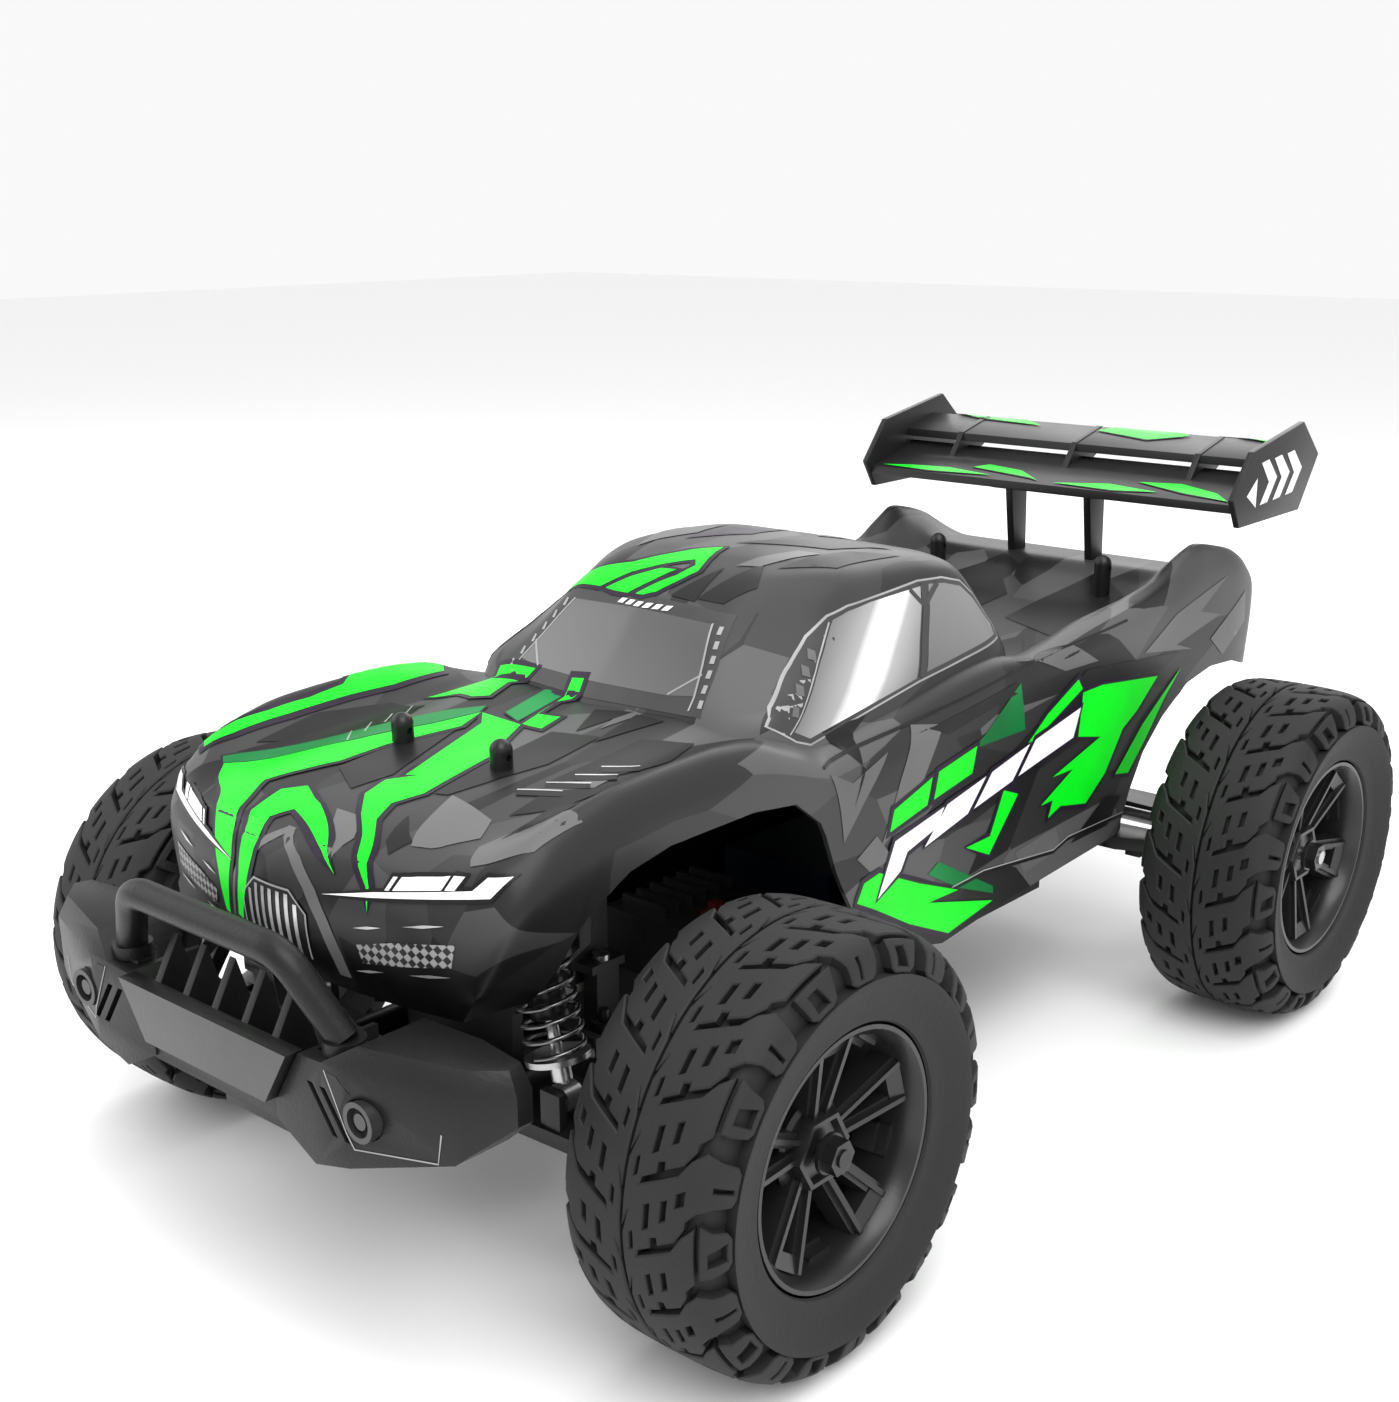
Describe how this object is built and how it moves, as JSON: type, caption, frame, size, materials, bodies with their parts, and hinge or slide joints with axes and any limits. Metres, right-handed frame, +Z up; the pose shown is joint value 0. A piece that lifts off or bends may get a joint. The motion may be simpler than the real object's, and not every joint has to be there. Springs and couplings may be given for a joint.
{
  "type": "radio-controlled monster truck",
  "caption": "Off-road radio-controlled truck: lift-off pickup shell with wing, faceted front bumper, sprung arms, steered front wheels and driven rear wheels.",
  "frame": {"origin": "on the ground, midway along the truck's length and width", "axes": "+Z up, the front faces -Y, +X is the vehicle's left side"},
  "size_m": [0.2324, 0.387, 0.1698],
  "materials": {
    "chassis_plastic": "moulded black",
    "black_plastic": "satin",
    "bumper_plastic": "fine grain",
    "wing_plastic": "satin",
    "painted_shell": "satin charcoal with green shards",
    "tyre_rubber": "matte",
    "rim_plastic": "satin black",
    "steel": "satin",
    "spring_steel": "polished",
    "motor_can": "satin",
    "brass": "machined",
    "white_plastic": "nylon",
    "electronics_case": "matte",
    "battery_wrap": "shrink wrap",
    "switch_red": "matte",
    "lamp_clear": "clear"
  },
  "bodies": {
    "chassis": {"chassis_tub": "chassis_plastic", "hinge_pins": "steel", "front_tower": "chassis_plastic", "rear_tower": "chassis_plastic", "body_posts": "black_plastic", "battery_pack": "battery_wrap", "receiver_box": "electronics_case", "chassis_screws": "steel", "steering_servo": "electronics_case", "gearbox_case": "chassis_plastic", "drive_motor": "motor_can", "front_bumper": "bumper_plastic", "bull_bar": "bumper_plastic", "bumper_lamps": "lamp_clear"},
    "shell": {"body_shell": "painted_shell", "rear_wing": "wing_plastic", "wing_end_plates": "wing_plastic", "wing_supports": "wing_plastic"},
    "battery_hatch": {"battery_door": "chassis_plastic"},
    "switch_slider": {"power_switch": "switch_red"},
    "rack": {"steering_rack": "black_plastic"},
    "horn": {"servo_horn": "white_plastic"},
    "differential": {"final_gear": "white_plastic"},
    "pinion": {"motor_pinion": "brass"},
    "front_left_suspension": {"front_left_arm": "chassis_plastic"},
    "front_left_damper": {"front_left_shock_body": "black_plastic", "front_left_spring": "spring_steel"},
    "front_left_damper_rod": {"front_left_shock_rod": "steel"},
    "rear_left_suspension": {"rear_left_arm": "chassis_plastic"},
    "rear_left_damper": {"rear_left_shock_body": "black_plastic", "rear_left_spring": "spring_steel"},
    "rear_left_damper_rod": {"rear_left_shock_rod": "steel"},
    "front_left_hub": {"front_left_knuckle": "black_plastic", "front_left_nut": "steel"},
    "front_left_wheel": {"front_left_tyre": "tyre_rubber", "front_left_rim": "rim_plastic"},
    "front_left_tie": {"front_left_link": "black_plastic"},
    "rear_left_wheel": {"rear_left_tyre": "tyre_rubber", "rear_left_rim": "rim_plastic", "rear_left_nut": "steel", "rear_left_half_shaft": "steel"},
    "rear_left_cup": {"rear_left_outdrive": "steel"},
    "front_right_suspension": {"front_right_arm": "chassis_plastic"},
    "front_right_damper": {"front_right_shock_body": "black_plastic", "front_right_spring": "spring_steel"},
    "front_right_damper_rod": {"front_right_shock_rod": "steel"},
    "rear_right_suspension": {"rear_right_arm": "chassis_plastic"},
    "rear_right_damper": {"rear_right_shock_body": "black_plastic", "rear_right_spring": "spring_steel"},
    "rear_right_damper_rod": {"rear_right_shock_rod": "steel"},
    "front_right_hub": {"front_right_knuckle": "black_plastic", "front_right_nut": "steel"},
    "front_right_wheel": {"front_right_tyre": "tyre_rubber", "front_right_rim": "rim_plastic"},
    "front_right_tie": {"front_right_link": "black_plastic"},
    "rear_right_wheel": {"rear_right_tyre": "tyre_rubber", "rear_right_rim": "rim_plastic", "rear_right_nut": "steel", "rear_right_half_shaft": "steel"},
    "rear_right_cup": {"rear_right_outdrive": "steel"}
  },
  "joints": [
    {"name": "shell_lift", "type": "slide", "parent": "chassis", "child": "shell", "axis": [0, 0, 1], "range_m": [0, 0.06]},
    {"name": "battery_hatch_slide", "type": "slide", "parent": "chassis", "child": "battery_hatch", "axis": [0, 1, 0], "range_m": [0, 0.034]},
    {"name": "power_switch_slide", "type": "slide", "parent": "chassis", "child": "switch_slider", "axis": [0, 1, 0], "range_m": [0, 0.0045]},
    {"name": "rack_slide", "type": "slide", "parent": "chassis", "child": "rack", "axis": [1, 0, 0], "range_m": [-0.0075, 0.0075]},
    {"name": "servo_turn", "type": "hinge", "parent": "chassis", "child": "horn", "pos_m": [0, -0.0815, 0.046], "axis": [0, 0, 1], "range_deg": [-30, 30]},
    {"name": "differential_spin", "type": "hinge", "parent": "chassis", "child": "differential", "pos_m": [-0.012, 0.1238, 0.05], "axis": [1, 0, 0], "continuous": true},
    {"name": "motor_spin", "type": "hinge", "parent": "chassis", "child": "pinion", "pos_m": [-0.012, 0.1346, 0.0644], "axis": [1, 0, 0], "continuous": true},
    {"name": "front_left_bump", "type": "hinge", "parent": "chassis", "child": "front_left_suspension", "pos_m": [0.024, -0.12, 0.042], "axis": [0, -1, 0], "range_deg": [-8, 10], "stiffness_Nm_per_rad": 1.2, "springref_deg": -6.59},
    {"name": "front_left_damper_swing", "type": "hinge", "parent": "chassis", "child": "front_left_damper", "pos_m": [0.036, -0.13, 0.086], "axis": [0, -1, 0], "range_deg": [-3, 3]},
    {"name": "front_left_damper_stroke", "type": "slide", "parent": "front_left_damper", "child": "front_left_damper_rod", "axis": [0.2276, 0, -0.9737], "range_m": [-0.0046, 0.004], "deforming": ["front_left_spring"]},
    {"name": "rear_left_bump", "type": "hinge", "parent": "chassis", "child": "rear_left_suspension", "pos_m": [0.026, 0.1238, 0.05], "axis": [0, -1, 0], "range_deg": [-8, 10], "stiffness_Nm_per_rad": 1.2, "springref_deg": -6.59},
    {"name": "rear_left_damper_swing", "type": "hinge", "parent": "chassis", "child": "rear_left_damper", "pos_m": [0.037, 0.104, 0.093], "axis": [0, -1, 0], "range_deg": [-3, 3]},
    {"name": "rear_left_damper_stroke", "type": "slide", "parent": "rear_left_damper", "child": "rear_left_damper_rod", "axis": [0.3315, 0, -0.9435], "range_m": [-0.0046, 0.004], "deforming": ["rear_left_spring"]},
    {"name": "front_left_steer", "type": "hinge", "parent": "front_left_suspension", "child": "front_left_hub", "pos_m": [0.082, -0.1155, 0.05], "axis": [0, 0, 1], "range_deg": [-20, 20]},
    {"name": "front_left_spin", "type": "hinge", "parent": "front_left_hub", "child": "front_left_wheel", "pos_m": [0.1, -0.1155, 0.05], "axis": [1, 0, 0], "continuous": true},
    {"name": "front_left_tie_slide", "type": "slide", "parent": "front_left_suspension", "child": "front_left_tie", "axis": [1, 0, 0], "range_m": [-0.0075, 0.0075]},
    {"name": "rear_left_spin", "type": "hinge", "parent": "rear_left_suspension", "child": "rear_left_wheel", "pos_m": [0.1, 0.1238, 0.05], "axis": [1, 0, 0], "continuous": true},
    {"name": "rear_left_cup_spin", "type": "hinge", "parent": "chassis", "child": "rear_left_cup", "pos_m": [0.02, 0.1238, 0.05], "axis": [1, 0, 0], "continuous": true},
    {"name": "front_right_bump", "type": "hinge", "parent": "chassis", "child": "front_right_suspension", "pos_m": [-0.024, -0.12, 0.042], "axis": [0, 1, 0], "range_deg": [-8, 10], "stiffness_Nm_per_rad": 1.2, "springref_deg": -6.59},
    {"name": "front_right_damper_swing", "type": "hinge", "parent": "chassis", "child": "front_right_damper", "pos_m": [-0.036, -0.13, 0.086], "axis": [0, 1, 0], "range_deg": [-3, 3]},
    {"name": "front_right_damper_stroke", "type": "slide", "parent": "front_right_damper", "child": "front_right_damper_rod", "axis": [-0.2276, 0, -0.9737], "range_m": [-0.0046, 0.004], "deforming": ["front_right_spring"]},
    {"name": "rear_right_bump", "type": "hinge", "parent": "chassis", "child": "rear_right_suspension", "pos_m": [-0.026, 0.1238, 0.05], "axis": [0, 1, 0], "range_deg": [-8, 10], "stiffness_Nm_per_rad": 1.2, "springref_deg": -6.59},
    {"name": "rear_right_damper_swing", "type": "hinge", "parent": "chassis", "child": "rear_right_damper", "pos_m": [-0.037, 0.104, 0.093], "axis": [0, 1, 0], "range_deg": [-3, 3]},
    {"name": "rear_right_damper_stroke", "type": "slide", "parent": "rear_right_damper", "child": "rear_right_damper_rod", "axis": [-0.3315, 0, -0.9435], "range_m": [-0.0046, 0.004], "deforming": ["rear_right_spring"]},
    {"name": "front_right_steer", "type": "hinge", "parent": "front_right_suspension", "child": "front_right_hub", "pos_m": [-0.082, -0.1155, 0.05], "axis": [0, 0, 1], "range_deg": [-20, 20]},
    {"name": "front_right_spin", "type": "hinge", "parent": "front_right_hub", "child": "front_right_wheel", "pos_m": [-0.1, -0.1155, 0.05], "axis": [1, 0, 0], "continuous": true},
    {"name": "front_right_tie_slide", "type": "slide", "parent": "front_right_suspension", "child": "front_right_tie", "axis": [1, 0, 0], "range_m": [-0.0075, 0.0075]},
    {"name": "rear_right_spin", "type": "hinge", "parent": "rear_right_suspension", "child": "rear_right_wheel", "pos_m": [-0.1, 0.1238, 0.05], "axis": [1, 0, 0], "continuous": true},
    {"name": "rear_right_cup_spin", "type": "hinge", "parent": "chassis", "child": "rear_right_cup", "pos_m": [-0.02, 0.1238, 0.05], "axis": [1, 0, 0], "continuous": true}
  ],
  "couplings": [
    {"joint": "motor_spin", "follows": "differential_spin", "ratio": -4},
    {"joint": "front_left_damper_swing", "follows": "front_left_bump", "ratio": -0.0284},
    {"joint": "front_left_damper_stroke", "follows": "front_left_bump", "m_per_rad": -0.021676},
    {"joint": "rear_left_damper_swing", "follows": "rear_left_bump", "ratio": 0.0454},
    {"joint": "rear_left_damper_stroke", "follows": "rear_left_bump", "m_per_rad": -0.024383},
    {"joint": "front_left_tie_slide", "follows": "front_left_steer", "m_per_rad": -0.02},
    {"joint": "rear_left_cup_spin", "follows": "rear_left_spin", "ratio": 1},
    {"joint": "front_right_damper_swing", "follows": "front_right_bump", "ratio": -0.0284},
    {"joint": "front_right_damper_stroke", "follows": "front_right_bump", "m_per_rad": -0.021676},
    {"joint": "rear_right_damper_swing", "follows": "rear_right_bump", "ratio": 0.0454},
    {"joint": "rear_right_damper_stroke", "follows": "rear_right_bump", "m_per_rad": -0.024383},
    {"joint": "front_right_tie_slide", "follows": "front_left_steer", "m_per_rad": -0.02},
    {"joint": "front_right_steer", "follows": "front_left_steer", "ratio": 1},
    {"joint": "rear_right_cup_spin", "follows": "rear_right_spin", "ratio": 1},
    {"joint": "rack_slide", "follows": "front_left_steer", "m_per_rad": -0.02},
    {"joint": "servo_turn", "follows": "front_left_steer", "ratio": -1.4286}
  ]
}
